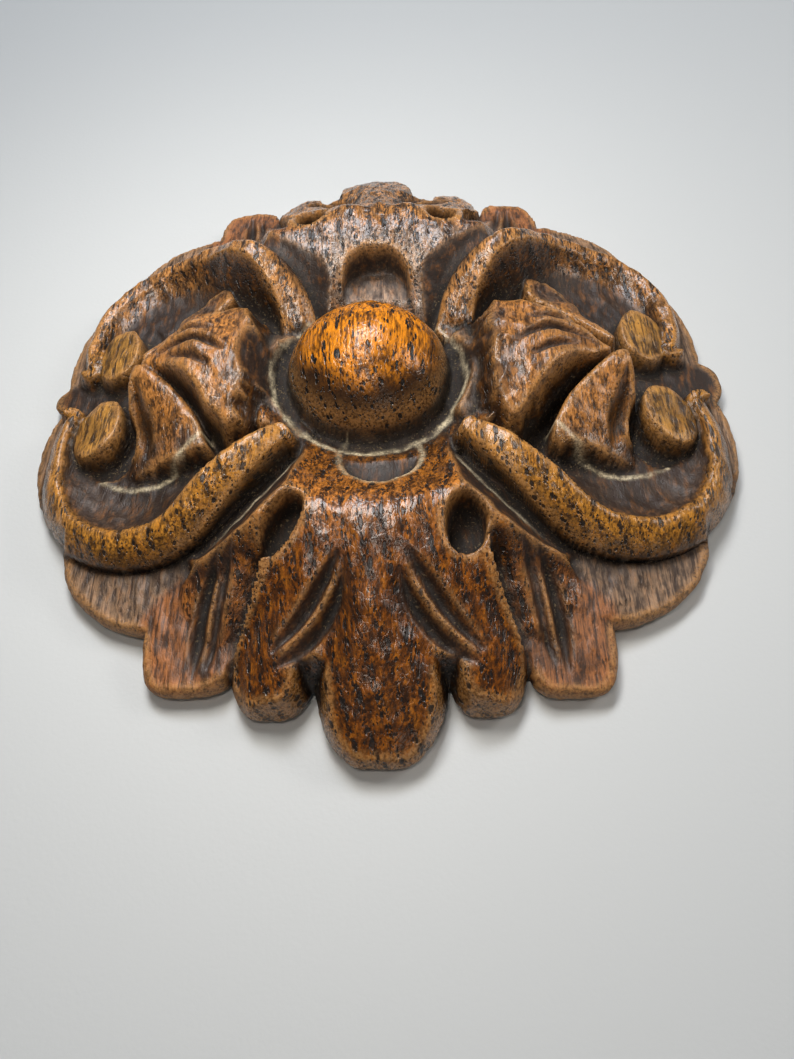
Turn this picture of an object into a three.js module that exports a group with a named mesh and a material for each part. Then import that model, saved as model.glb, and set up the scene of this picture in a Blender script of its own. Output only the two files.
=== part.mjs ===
// Carved oak applique: one piece of oak with a domed face and a flat back. A round boss in a moat, four
// C-scrolls that end in oval eyes, a fan of leaf lobes on each side and a lobed leaf at the near and far ends.
// Millimetres, +Z up, lying on its back. The origin is on the back, under the middle of the pattern.
import * as THREE from "three";

// Driving sizes
const WIDTH = 122; // across the scrolls
const LENGTH = 135; // from leaf tip to leaf tip
const RIM = 2.7; // thickness left at the worn rim
const BACK_BEVEL = 1.0; // how far the back is set in from the rim
const PLATE_EDGE = 3.3; // thickness of the ground between the carvings, at the rim
const PLATE_CENTRE = 8.7; // and in the middle
const DOME_EDGE = 3.5; // height of the domed blank at the rim
const DOME_TOP = 18.5; // and in the middle
const BOSS_RADIUS = 14.7;
const BOSS_FOOT = 8.0; // height of the boss's widest line
const BOSS_TOP = 21.5;
const MOAT_WIDTH = 1.9;
const MOAT_FLOOR = 9.3;
const ROLL_HALF_WIDTH = 2.9; // scroll's rounded roll, at its widest
const ROLL_DROP = 3.8; // from the roll's ridge to its outer edge
const COVE_WIDTH = 8.6; // hollow slope inside the roll
const SCROLL_GAP = 0.9; // flat floor of the cut that parts scroll and leaf
const FAR_GAP_DEPTH = 3.4; // its depth below the roll's ridge at the far end
const EYE_RADIUS = 4.5; // across the applique
const EYE_LENGTH = 12.4; // along it
const EYE_HEIGHT = 8.6;
const EYE_HOLLOW_FLOOR = 4.0;
const FAN_TOP = 18.6;
const FAN_ROOT = 14.4;
const FAN_SIDE_TOP = 14.8;
const FAN_SIDE_LEAN = 4.6; // how far a fan's outer lobe falls to its outer side
const TERRACE_TOP = 12.6; // step between fan and moat
const LEAF_GOUGE = 1.6; // depth of the flutes in the leaf lobes
const LEAF_GOUGE_HALF_WIDTH = 1.25;
const FAN_GOUGE = 1.5;
const FAN_GOUGE_HALF_WIDTH = 1.15;
const HOLE_DEPTH = 5.6; // eye holes under the leaf's collar
const SCOOP_FLOOR = 10.4; // half-round scoops between boss and collar
const MESH_STEP = 1.85; // spacing of the vertices

const HALF_W = WIDTH / 2;
const HALF_L = LENGTH / 2;
const BOSS = { x: -0.021 * HALF_W, y: 0.004 * HALF_L };
const MOAT_RADIUS = BOSS_RADIUS + MOAT_WIDTH;

// Small mathematics
const clamp = THREE.MathUtils.clamp;
const mix = THREE.MathUtils.lerp;
const ease = (t) => THREE.MathUtils.smoothstep(t, 0, 1);
const between = (v, a, b, from, to) => mix(a, b, ease((v - from) / (to - from)));
const raised = (top, away, steep) => top - steep * Math.max(away, 0);
const bump = (value) => 1 - ease(Math.abs(value));

function softMax(a, b, k) {
  const h = clamp(0.5 + (0.5 * (a - b)) / k, 0, 1);
  return mix(b, a, h) + k * h * (1 - h);
}

// Distance to a superellipse, negative inside. Its place and radii are shares of the half width and half length.
function blobDistance(x, y, { at, radii, power = 2, turn = 0 }) {
  const dx = x - at[0] * HALF_W;
  const dy = y - at[1] * HALF_L;
  const rx = radii[0] * HALF_W;
  const ry = radii[1] * HALF_L;
  const c = Math.cos(THREE.MathUtils.degToRad(turn));
  const s = Math.sin(THREE.MathUtils.degToRad(turn));
  const a = Math.abs(dx * c + dy * s) / rx + 1e-9;
  const b = Math.abs(dy * c - dx * s) / ry + 1e-9;
  const f = (a ** power + b ** power) ** (1 / power);
  const slope = f ** (1 - power) * Math.hypot(a ** (power - 1) / rx, b ** (power - 1) / ry);
  return (f - 1) / slope;
}

// A smooth line through a few points: shares of half width and half length, then any further columns.
function smoothLine(points, closed = false, steps = 6) {
  const p = points.map(([u, v, ...rest]) => [u * HALF_W, v * HALF_L, ...rest]);
  const n = p.length;
  const line = [];
  for (let i = 0; i < (closed ? n : n - 1); i++) {
    const b = p[i];
    const c = p[(i + 1) % n];
    const a = closed ? p[(i + n - 1) % n] : (p[i - 1] ?? b.map((value, k) => 2 * value - c[k]));
    const d = closed ? p[(i + 2) % n] : (p[i + 2] ?? c.map((value, k) => 2 * value - b[k]));
    for (let j = 0; j < steps; j++) {
      const t = j / steps;
      line.push(b.map((value, k) => 0.5 * (2 * value + (c[k] - a[k]) * t
        + (2 * a[k] - 5 * value + 4 * c[k] - d[k]) * t * t
        + (3 * value - a[k] - 3 * c[k] + d[k]) * t ** 3)));
    }
  }
  line.push(closed ? line[0] : p[n - 1]);
  return line;
}

// Nearest place on a line: distance (positive on the left of its direction), share along, further columns.
function nearest(x, y, line) {
  let best = { distance: Infinity };
  for (let i = 0; i < line.length - 1; i++) {
    const p = line[i];
    const q = line[i + 1];
    const dx = q[0] - p[0];
    const dy = q[1] - p[1];
    const t = clamp(((x - p[0]) * dx + (y - p[1]) * dy) / (dx * dx + dy * dy), 0, 1);
    const ex = x - p[0] - dx * t;
    const ey = y - p[1] - dy * t;
    const distance = Math.hypot(ex, ey);
    if (distance < best.distance) best = { distance, left: dx * ey > dy * ex, i, t };
  }
  const { i, t } = best;
  return {
    side: best.left ? best.distance : -best.distance,
    along: (i + t) / (line.length - 1),
    columns: line[i].slice(2).map((value, k) => mix(value, line[i + 1][k + 2], t)),
  };
}

// Distance to a closed line, negative inside
function lobeDistance(x, y, line) {
  let inside = false;
  for (let i = 0; i < line.length - 1; i++) {
    const [x0, y0] = line[i];
    const [x1, y1] = line[i + 1];
    if (y0 > y !== y1 > y && x < ((x1 - x0) * (y - y0)) / (y1 - y0) + x0) inside = !inside;
  }
  const away = Math.abs(nearest(x, y, line).side);
  return inside ? -away : away;
}

// Height after a gouge has cut along a line whose third column narrows it towards its ends
function gouged(z, x, y, line, depth, halfWidth) {
  const { side, columns } = nearest(x, y, line);
  const reach = clamp(1 - Math.abs(side) / (halfWidth * columns[0]), 0, 1);
  return z - depth * columns[0] * (1 - (1 - reach) ** 1.6);
}

// The four quarters are one pattern, mirrored, each with the small shifts of hand work
const QUARTERS = [
  { sx: -1, sy: -1, shift: [-0.005, -0.013], leafIn: 1.2, fanIn: 1.7,
    hole: { at: [0.223, 0.516], radii: [0.03, 0.068], turn: -28 } },
  { sx: 1, sy: -1, shift: [0.03, -0.01], leafIn: 0, fanIn: 0,
    hole: { at: [0.23, 0.523], radii: [0.039, 0.062], turn: 8 } },
  { sx: -1, sy: 1, shift: [-0.023, 0.001], leafIn: 0, fanIn: 1.7,
    hole: { at: [0.213, 0.57], radii: [0.036, 0.05], turn: 8 } },
  { sx: 1, sy: 1, shift: [-0.003, 0.019], leafIn: 0, fanIn: 0,
    hole: { at: [0.213, 0.57], radii: [0.036, 0.05], turn: 8 } },
];
const quarterOf = (x, y) => QUARTERS.find(({ sx, sy }) => (x < 0) === (sx < 0) && (y < 0) === (sy < 0));

// Point in its quarter's own coordinates, with the quarter's shift growing towards the side
function inQuarter(x, y, { sx, sy, shift }) {
  const u = x * sx;
  const share = clamp(u / HALF_W, 0, 1);
  return [u - shift[0] * HALF_W * share, y * sy - shift[1] * HALF_L * share];
}

// Plan outline
const OUTLINE_QUARTER = [
  { at: [0.575, 0.166], radii: [0.426, 0.392] }, // scroll
  { at: [0.505, 0.424], radii: [0.353, 0.28], power: 2.2 }, // corner plate
];
const OUTLINE_MIDDLE = [
  { at: [0, 0], radii: [0.934, 0.837] }, // body
  { at: [-0.469, -0.556], radii: [0.127, 0.277], power: 4.5, turn: 3 }, // outer lobes
  { at: [0.469, -0.57], radii: [0.118, 0.28], power: 4.5, turn: 2 },
  { at: [-0.469, 0.563], radii: [0.116, 0.28], power: 4.5, turn: -2 },
  { at: [0.466, 0.563], radii: [0.107, 0.28], power: 4.5, turn: 2 },
  { at: [-0.256, -0.622], radii: [0.111, 0.268], power: 3.2, turn: 2 }, // side lobes
  { at: [0.275, -0.622], radii: [0.107, 0.267], power: 3.2, turn: -2 },
  { at: [-0.275, 0.607], radii: [0.105, 0.27], power: 3.2, turn: -2 },
  { at: [0.269, 0.622], radii: [0.103, 0.267], power: 3.2, turn: 2 },
  { at: [0.016, -0.652], radii: [0.17, 0.344], power: 2.8 }, // middle lobes
  { at: [-0.01, 0.667], radii: [0.165, 0.341], power: 2.8 },
  { at: [-0.915, 0.034], radii: [0.087, 0.053], power: 2.2 }, // tabs at the sides
  { at: [0.934, 0.033], radii: [0.107, 0.086], power: 2.4 },
];

function outlineDistance(x, y) {
  const [u, v] = inQuarter(x, y, quarterOf(x, y));
  return Math.min(
    ...OUTLINE_QUARTER.map((blob) => blobDistance(u, v, blob)),
    ...OUTLINE_MIDDLE.map((blob) => blobDistance(x, y, blob)),
  );
}

// Domed blank and the ground between the carvings
const spread = (x, y) => Math.hypot(x / HALF_W, y / HALF_L);
const dome = (x, y) => mix(DOME_TOP, DOME_EDGE, clamp((spread(x, y) - 0.4) / 0.6, 0, 1) ** 1.7);
const plate = (x, y) => mix(PLATE_CENTRE, PLATE_EDGE, Math.min(spread(x, y) ** 2, 1));

// Scroll: middle of the roll from the boss outwards, share of the full width, lift above the dome
const NEAR_ROLL = smoothLine([
  [0.252, 0.241, 0.5, -3], [0.313, 0.302, 0.78, -1.8], [0.382, 0.363, 0.95, -1.4], [0.439, 0.415, 1, -1.5],
  [0.498, 0.465, 1, -1.6], [0.557, 0.493, 1, -1.4], [0.626, 0.505, 0.98, -0.6], [0.697, 0.504, 0.95, 0.6],
  [0.78, 0.474, 0.92, 1.8], [0.844, 0.43, 0.86, 2.6], [0.885, 0.373, 0.82, 2.75], [0.916, 0.301, 0.79, 2.7],
  [0.925, 0.23, 0.76, 2.4], [0.925, 0.156, 0.71, 1.9], [0.903, 0.089, 0.66, 1],
]);
const FAR_ROLL = smoothLine([
  [0.239, 0.181, 1.14, -8.5], [0.261, 0.262, 1.09, -5.3], [0.305, 0.329, 1.07, -1.9], [0.352, 0.376, 1.03, 0.6],
  [0.403, 0.413, 1.02, 1.7], [0.449, 0.441, 0.98, 1.5], [0.495, 0.47, 0.98, 0.7], [0.554, 0.496, 0.98, -0.2],
  [0.623, 0.51, 0.97, -0.4], [0.693, 0.507, 0.95, -0.2], [0.774, 0.481, 0.91, 0.3], [0.838, 0.437, 0.84, 1.1],
  [0.88, 0.379, 0.81, 1.7], [0.91, 0.311, 0.78, 1.9], [0.92, 0.237, 0.74, 1.7], [0.918, 0.163, 0.71, 1.3],
  [0.898, 0.093, 0.66, 0.6],
]);
const NEAR_CROWN = 0.75; // place of the ridge, from the roll's middle to its inner edge
const FAR_CROWN = 0.1;
const rollOf = ({ sy }) => (sy > 0 ? FAR_ROLL : NEAR_ROLL);

function scroll(u, v, quarter) {
  const course = rollOf(quarter);
  const crown = quarter.sy > 0 ? FAR_CROWN : NEAR_CROWN;
  const { side, along, columns } = nearest(u, v, course);
  const half = columns[0] * ROLL_HALF_WIDTH;
  const place = course[Math.round(along * (course.length - 1))];
  const ridge = dome(place[0], place[1]) + columns[1];
  const across = -side / half; // 1 at the inner edge, -1 at the outer edge
  if (along === 0 || along === 1) {
    const away = Math.abs(side) - half;
    return { z: raised(ridge - 0.6, away, 3), ridge, along, outside: along === 0 ? away : Infinity };
  }
  if (across > 1) {
    const reach = COVE_WIDTH * ease(along * 3.6) * ease((1 - along) * 3) + 0.8;
    const inward = ((across - 1) * half) / reach;
    const cove = mix(plate(u, v) - 0.3, ridge - 0.9, (1 - clamp(inward, 0, 1)) ** 2.3);
    return { z: inward > 1 ? 0 : cove, ridge, along, outside: Infinity };
  }
  const fall = ROLL_DROP * ease(0.3 + 2.2 * along) * clamp((crown - across) / (1 + crown), 0, 2) ** 1.8;
  const turned = 0.9 * clamp((across - crown + 0.2) / (1.2 - crown), 0, 1) ** 2;
  const outside = (-across - 1) * half;
  const z = raised(ridge - fall - turned, outside, 5);
  return { z, ridge, along, outside: across < 0 ? outside : Infinity };
}

// Oval eye at the scroll's end, tilted outwards, beside its hollow
const EYE_RADII = [EYE_RADIUS / HALF_W, EYE_LENGTH / 2 / HALF_L];
const NEAR_EYE = { at: [0.806, 0.146], radii: EYE_RADII, power: 2.1, turn: -8 };
const FAR_EYE = { at: [0.81, 0.127], radii: EYE_RADII, power: 2.1, turn: -8 };
const eyeOf = ({ sy }) => (sy > 0 ? FAR_EYE : NEAR_EYE);
const EYE_HOLLOW = { at: [0.768, 0.192], radii: [0.07, 0.086] };
const EYE_TILT = 0.42;

function eye(u, v, shape) {
  const away = blobDistance(u, v, shape);
  const top = EYE_HEIGHT - EYE_TILT * (u - shape.at[0] * HALF_W);
  return raised(top - 0.5 * clamp(1 + away / 1.2, 0, 1) ** 2, away, 4.5);
}

// Side fan: a high middle lobe and a leaning lobe on each side of it
const FAN_AT = 0.689; // where its lobes meet, share of the half width
const FAN_CLIFF = 0.335 * HALF_W; // torn side towards the moat
const FAN_CLIFF_SLOPE = 1.8;
const FAN_MIDDLE = smoothLine([
  [0.669, 0.012], [0.615, 0.053], [0.533, 0.104], [0.443, 0.157], [0.374, 0.199], [0.338, 0.148], [0.325, 0.052],
  [0.328, -0.044], [0.341, -0.141], [0.367, -0.21], [0.43, -0.166], [0.485, -0.095], [0.566, -0.033],
  [0.639, -0.009],
], true);
const NEAR_FAN_SIDE = smoothLine([
  [0.675, 0.003], [0.611, 0.047], [0.564, 0.089], [0.516, 0.139], [0.489, 0.182], [0.469, 0.225], [0.466, 0.255],
  [0.521, 0.258], [0.574, 0.273], [0.631, 0.281], [0.685, 0.284], [0.702, 0.207], [0.708, 0.133], [0.705, 0.067],
  [0.692, 0.018],
], true);
const FAR_FAN_SIDE = smoothLine([
  [0.679, 0.027], [0.623, 0.089], [0.574, 0.145], [0.515, 0.196], [0.475, 0.258], [0.469, 0.319], [0.495, 0.344],
  [0.566, 0.299], [0.633, 0.219], [0.675, 0.127], [0.689, 0.059],
], true);
const fanSideOf = ({ sy }) => (sy > 0 ? FAR_FAN_SIDE : NEAR_FAN_SIDE);
const FAN_MIDDLE_GOUGES = [
  [[0.59, 0.07, 0.3], [0.525, 0.083, 0.8], [0.44, 0.072, 0.3]],
  [[0.62, 0.028, 0.3], [0.54, 0.04, 0.8], [0.47, 0.03, 1], [0.395, -0.013, 0.4]],
  [[0.575, 0.002, 0.3], [0.51, -0.018, 0.8], [0.44, -0.054, 0.6]],
].map((points) => smoothLine(points));
const FAN_SIDE_GOUGE = smoothLine([
  [0.69, 0.059, 0.3], [0.675, 0.119, 0.8], [0.65, 0.185, 1], [0.635, 0.244, 0.5],
]);
const FAN_SIDE_GOUGE_HALF_WIDTH = 1.9;
const TERRACE = { at: [0.293, 0], radii: [0.075, 0.163], power: 3.4 };

function fanMiddle(u, y) {
  const away = lobeDistance(u, y, FAN_MIDDLE);
  const reach = Math.hypot(FAN_AT * HALF_W - u, y);
  let top = between(reach, FAN_ROOT, FAN_TOP, 1, 14) - 0.016 * y * y - between(reach, 0, 1, 16, 24);
  for (const line of FAN_MIDDLE_GOUGES) top = gouged(top, u, y, line, FAN_GOUGE, FAN_GOUGE_HALF_WIDTH);
  const steep = between(u, FAN_CLIFF_SLOPE, 3.8, FAN_CLIFF, FAN_CLIFF + 6);
  return raised(top - 0.8 * clamp(1 + away / 1.5, 0, 1) ** 2, away, steep);
}

function fanSide(u, v, shape) {
  const away = lobeDistance(u, v, shape);
  const across = FAN_AT * HALF_W - u;
  const reach = Math.hypot(across, v);
  const lean = clamp((THREE.MathUtils.radToDeg(Math.atan2(v, across)) - 40) / 42, 0, 1.2);
  const leaned = FAN_SIDE_LEAN * lean ** 2 * ease(reach / 14);
  const fall = 1.6 * ease(reach / 20) + leaned + between(reach, 0, 1.2, 14, 22);
  const top = gouged(FAN_SIDE_TOP - fall, u, v, FAN_SIDE_GOUGE, LEAF_GOUGE, FAN_SIDE_GOUGE_HALF_WIDTH);
  return raised(top - 0.6 * clamp(1 + away / 1.5, 0, 1) ** 2, away, 3.4);
}

const terrace = (u, y) => raised(TERRACE_TOP - 0.12 * (u - 17), blobDistance(u, y, TERRACE), 2.5);

// Leaf: collar that rises from the moat, then a middle lobe and on each side a side and an outer lobe
const LEAF_GOUGES = [
  [[0.089, 0.591, 0.25], [0.123, 0.641, 0.9], [0.185, 0.714, 1], [0.249, 0.77, 0.3]],
  [[0.067, 0.63, 0.25], [0.095, 0.686, 0.9], [0.138, 0.739, 1], [0.189, 0.778, 0.9], [0.239, 0.803, 0.25]],
].map((points) => smoothLine(points));
const OUTER_GOUGE = smoothLine([
  [0.403, 0.6, 0.3], [0.436, 0.674, 1], [0.456, 0.748, 1], [0.462, 0.815, 0.3],
]);
const OUTER_GOUGE_HALF_WIDTH = 2.0;
const SCOOPS = [
  { sy: -1, at: [0.015, 0.271], radii: [0.1, 0.113] },
  { sy: 1, at: [0, 0.278], radii: [0.1, 0.122] },
];
const NEAR_COLLAR_SLOPE = 0.6; // rise from the moat to the crest
const FAR_COLLAR_SLOPE = 0.78;
const FAR_CREST_HUMP = 1.5; // two humps on the far crest
const FAR_SIDE_LOBE_DROP = 1.6;
const NEAR_SIDE_LOBE_DROP = 0.5;

function leaf(u, v, far) {
  const top = dome(u, v);
  const s = v / HALF_L;
  const w = HALF_W;
  const valley = between(s, 0.048, 0.158, 0.64, 0.9) * w; // between middle and side lobe
  const groove = between(s, 0.279, 0.366, 0.548, 0.83) * w; // between side and outer lobe
  const border = between(s, 0.393, 0.593, 0.444, 0.696) * w; // outer lobe's far side
  const drop = 0.4 + between(s, 0, far ? FAR_SIDE_LOBE_DROP : NEAR_SIDE_LOBE_DROP, 0.533, 0.741);
  const parting = between(s, 0.1, 1, 0.58, 0.74);
  const middle = top + 0.1 - 1.5 * parting * clamp(u / valley, 0, 1.5) ** 2;
  const t = (u - valley) / (groove - valley);
  const flank = t < 0.45
    ? 1.3 * parting * clamp((0.45 - t) / 0.45, 0, 2) ** 2
    : 4.6 * clamp((t - 0.45) / 0.55, 0, 1.5) ** 3;
  const side = top - drop - flank;
  const t2 = (u - groove) / (border - groove);
  const outer = t2 > 1 ? top - 5.7 - 3 * (u - border) : top - 4.2 - 1.5 * (2 * t2 - 1) ** 2;
  const lobes = t < 1.02 ? Math.max(softMax(middle, side, 0.8), t > 0.8 ? outer - 1.5 : 0) : outer;
  const slope = far ? FAR_COLLAR_SLOPE : NEAR_COLLAR_SLOPE;
  let collar = MOAT_FLOOR + slope * (Math.hypot(u, v) - MOAT_RADIUS - 1.4);
  if (far) collar = -softMax(-collar, -16 - 0.25 * (v - 27), 1.5);
  collar -= 2 * Math.max(u - 0.336 * w, 0);
  const hump = far ? FAR_CREST_HUMP * bump((u - 5.8) / 5) * bump((v - 37) / 7) : 0;
  return -softMax(-collar, -between(s, top + 0.2, lobes, 0.489, 0.593) - hump, 2);
}

// Boss and moat
const bossDistance = (x, y) => Math.hypot(x - BOSS.x, y - BOSS.y);

function boss(x, y) {
  const share = bossDistance(x, y) / BOSS_RADIUS;
  return share < 1 ? mix(BOSS_FOOT, BOSS_TOP, Math.sqrt(1 - share * share)) : 0;
}

// Height of the carved face
function relief(x, y) {
  const quarter = quarterOf(x, y);
  const [u, v] = inQuarter(x, y, quarter);
  const straightU = Math.abs(x);
  const straightV = Math.abs(y);
  let z = plate(x, y);

  const leafU = straightU + quarter.leafIn * ease(straightU / 12);
  if (straightV > 8) z = Math.max(z, leaf(leafU, straightV, quarter.sy > 0));
  const scoop = SCOOPS.find(({ sy }) => sy === quarter.sy);
  z = Math.min(z, SCOOP_FLOOR + 5 * Math.max(blobDistance(x, straightV, scoop), straightV < 12 ? 9 : 0));
  const holeAway = blobDistance(straightU, straightV, quarter.hole);
  z = Math.min(z, raised(dome(x, y) - HOLE_DEPTH, holeAway, -4.5));
  if (straightV > 0.44 * HALF_L) {
    for (const line of LEAF_GOUGES) {
      z = gouged(z, leafU, straightV, line, LEAF_GOUGE, LEAF_GOUGE_HALF_WIDTH);
    }
    z = gouged(z, leafU, straightV, OUTER_GOUGE, LEAF_GOUGE, OUTER_GOUGE_HALF_WIDTH);
  }

  const band = scroll(u, v, quarter);
  const far = quarter.sy > 0;
  const nearGap = mix(MOAT_FLOOR, plate(x, y) - 0.3, ease((band.along - 0.02) * 3.2));
  const gapFloor = far ? band.ridge - FAR_GAP_DEPTH : nearGap;
  const gap = gapFloor + (far ? 0.8 : 1.25) * Math.max(band.outside - SCROLL_GAP, 0);
  if (band.outside > -3 && band.along < 0.8) z = Math.min(z, gap);
  if (band.outside === Infinity && u > 12 && v < 0.415 * HALF_L) z = Math.min(z, plate(x, y) - 0.3);
  z = Math.max(z, band.z);

  const fanU = straightU - quarter.fanIn * clamp((42 - straightU) / 20, 0, 1);
  if (u > 10) z = Math.max(z, terrace(straightU, y), fanMiddle(fanU, y), fanSide(u, v, fanSideOf(quarter)));
  if (u > HALF_W / 2) {
    const hollowFloor = EYE_HOLLOW_FLOOR + (far ? 1.2 : 0);
    z = Math.min(z, raised(hollowFloor, blobDistance(u, v, EYE_HOLLOW), -4));
    z = Math.max(z, eye(u, v, eyeOf(quarter)));
  }

  z = Math.min(z, raised(MOAT_FLOOR, bossDistance(x, y) - MOAT_RADIUS, -1.6));
  z = Math.max(z, boss(x, y));
  const inset = Math.max(-outlineDistance(x, y), 0);
  return Math.min(z, RIM + 2.9 * inset - 0.16 * Math.min(inset, 6) ** 2);
}

// Edges that the mesh's vertices are drawn to, so that they stay crisp
function edgeDistances(x, y) {
  const quarter = quarterOf(x, y);
  const [u, v] = inQuarter(x, y, quarter);
  const roll = nearest(u, v, rollOf(quarter));
  const half = roll.columns[0] * ROLL_HALF_WIDTH;
  return [
    bossDistance(x, y) - BOSS_RADIUS,
    bossDistance(x, y) - MOAT_RADIUS,
    roll.side - half,
    roll.side + half,
    blobDistance(u, v, eyeOf(quarter)),
    lobeDistance(Math.abs(x), y, FAN_MIDDLE),
    lobeDistance(u, v, fanSideOf(quarter)),
    blobDistance(Math.abs(x), Math.abs(y), quarter.hole) - 1.2,
    blobDistance(x, Math.abs(y), SCOOPS.find(({ sy }) => sy === quarter.sy)) - 1,
  ];
}

// Moves a point onto the line where a distance is nought
function pulled([x, y], distanceAt, steps = 3) {
  const e = 0.01;
  for (let i = 0; i < steps; i++) {
    const d = distanceAt(x, y);
    const gx = (distanceAt(x + e, y) - d) / e;
    const gy = (distanceAt(x, y + e) - d) / e;
    const g2 = Math.max(gx * gx + gy * gy, 0.25);
    x -= (d * gx) / g2;
    y -= (d * gy) / g2;
  }
  return [x, y];
}

const apart = (p, q) => Math.hypot(p[0] - q[0], p[1] - q[1]);

// A triangular lattice with its points drawn to the outline and to the carving's edges. The triangles that
// bridge a notch in the outline are left out, unless the rim would touch itself there.
function faceLattice() {
  const rowHeight = (MESH_STEP * Math.sqrt(3)) / 2;
  const rows = Math.ceil((HALF_L + 3) / rowHeight);
  const columns = Math.ceil((HALF_W + 4) / MESH_STEP);
  const points = [];
  const index = (i, j) => (i + rows) * (2 * columns + 1) + j + columns;
  for (let i = -rows; i <= rows; i++) {
    for (let j = -columns; j <= columns; j++) {
      let point = [(j + (i % 2 ? 0.5 : 0)) * MESH_STEP, i * rowHeight];
      const rim = outlineDistance(...point);
      const onRim = Math.abs(rim) < 0.5 * MESH_STEP;
      if (onRim) {
        point = pulled(point, outlineDistance, 5);
      } else if (rim < 0) {
        const edges = edgeDistances(...point).map(Math.abs);
        const edge = edges.indexOf(Math.min(...edges));
        if (edges[edge] < 0.42 * MESH_STEP) point = pulled(point, (x, y) => edgeDistances(x, y)[edge], 2);
      }
      points.push({ point, onRim, inside: onRim || rim < 0 });
    }
  }
  const triangles = [];
  for (let i = -rows; i < rows; i++) {
    for (let j = -columns; j < columns; j++) {
      const odd = i % 2 !== 0;
      const [a, b, c, d] = [index(i, j), index(i, j + 1), index(i + 1, j), index(i + 1, j + 1)];
      triangles.push(...(odd ? [[a, b, d], [a, d, c]] : [[a, b, c], [b, d, c]]));
    }
  }
  const whole = triangles.filter((corners) => corners.every((k) => points[k].inside));
  const bridges = new Set(whole.filter((corners) => {
    const centre = [0, 1].map((k) => corners.reduce((sum, corner) => sum + points[corner].point[k] / 3, 0));
    return corners.every((k) => points[k].onRim) && outlineDistance(...centre) > -0.05;
  }));
  const withoutBridges = () => whole.filter((corners) => !bridges.has(corners));
  let pinched = pinchedPoints(withoutBridges());
  while (pinched.length > 0) {
    const near = (k) => pinched.some((p) => apart(points[p].point, points[k].point) < 1.5 * MESH_STEP);
    [...bridges].filter((corners) => corners.some(near)).forEach((corners) => bridges.delete(corners));
    pinched = pinchedPoints(withoutBridges());
  }
  return { points: points.map(({ point }) => point), triangles: withoutBridges() };
}

// Edges that only one triangle has, each with its face on the left
function rimEdges(triangles) {
  const edges = new Set(triangles.flatMap(([a, b, c]) => [`${a},${b}`, `${b},${c}`, `${c},${a}`]));
  return [...edges].map((edge) => edge.split(",").map(Number)).filter(([a, b]) => !edges.has(`${b},${a}`));
}

// Points where the lattice would hang together by one corner alone
function pinchedPoints(triangles) {
  const starts = rimEdges(triangles).map(([a]) => a);
  return starts.filter((a, i) => starts.indexOf(a) !== i);
}

// Rim of the lattice as one closed loop of point numbers, counter-clockwise
function rimLoop(triangles) {
  const next = new Map(rimEdges(triangles));
  const loop = [next.keys().next().value];
  while (next.get(loop.at(-1)) !== loop[0]) loop.push(next.get(loop.at(-1)));
  return loop;
}

// Carved face, bevelled rim and flat back as one closed geometry
function appliqueGeometry() {
  const { points, triangles } = faceLattice();
  const loop = rimLoop(triangles);
  const back = loop.map((k) => pulled(points[k], (x, y) => outlineDistance(x, y) + BACK_BEVEL, 4));
  const used = [...new Set(triangles.flat())];
  const number = new Map(used.map((k, i) => [k, i]));
  const positions = used.flatMap((k) => [...points[k], relief(...points[k])]);
  positions.push(...back.flatMap(([x, y]) => [x, y, 0]));
  const faces = triangles.map((corners) => corners.map((k) => number.get(k)));
  loop.forEach((k, i) => {
    const j = (i + 1) % loop.length;
    const [a, b] = [number.get(k), number.get(loop[j])];
    const [c, d] = [used.length + i, used.length + j];
    faces.push([a, c, b], [b, c, d]);
  });
  const flat = back.map(([x, y]) => new THREE.Vector2(x, y));
  for (const [a, b, c] of THREE.ShapeUtils.triangulateShape(flat, [])) {
    faces.push([used.length + a, used.length + c, used.length + b]);
  }
  const geometry = new THREE.BufferGeometry();
  geometry.setAttribute("position", new THREE.Float32BufferAttribute(positions, 3));
  geometry.setIndex(faces.flat());
  geometry.computeVertexNormals();
  return geometry;
}

const stainedOak = new THREE.MeshStandardMaterial({ color: "#7a4a22", roughness: 0.45, metalness: 0 });

const applique = new THREE.Mesh(appliqueGeometry(), stainedOak);
applique.name = "carved_applique";

const group = new THREE.Group();
group.add(applique);

export default group;
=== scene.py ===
"""A carved oak applique on a pale table: boss, four C-scrolls with oval eyes, side fans and lobed leaves."""

import bmesh
import bpy
import numpy as np
from mathutils import Matrix, Vector


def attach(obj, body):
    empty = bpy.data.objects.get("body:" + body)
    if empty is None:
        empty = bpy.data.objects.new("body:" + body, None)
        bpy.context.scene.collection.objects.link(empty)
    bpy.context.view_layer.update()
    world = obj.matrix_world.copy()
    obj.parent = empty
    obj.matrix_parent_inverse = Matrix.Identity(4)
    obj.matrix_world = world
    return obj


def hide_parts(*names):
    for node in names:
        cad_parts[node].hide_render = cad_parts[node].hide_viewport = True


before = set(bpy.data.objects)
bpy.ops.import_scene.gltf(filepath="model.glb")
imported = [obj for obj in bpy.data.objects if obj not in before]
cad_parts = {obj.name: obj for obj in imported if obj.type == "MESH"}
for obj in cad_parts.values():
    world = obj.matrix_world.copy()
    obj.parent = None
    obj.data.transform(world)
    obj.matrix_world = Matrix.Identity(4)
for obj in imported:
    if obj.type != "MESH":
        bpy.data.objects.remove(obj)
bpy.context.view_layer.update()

MM = 0.001

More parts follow.
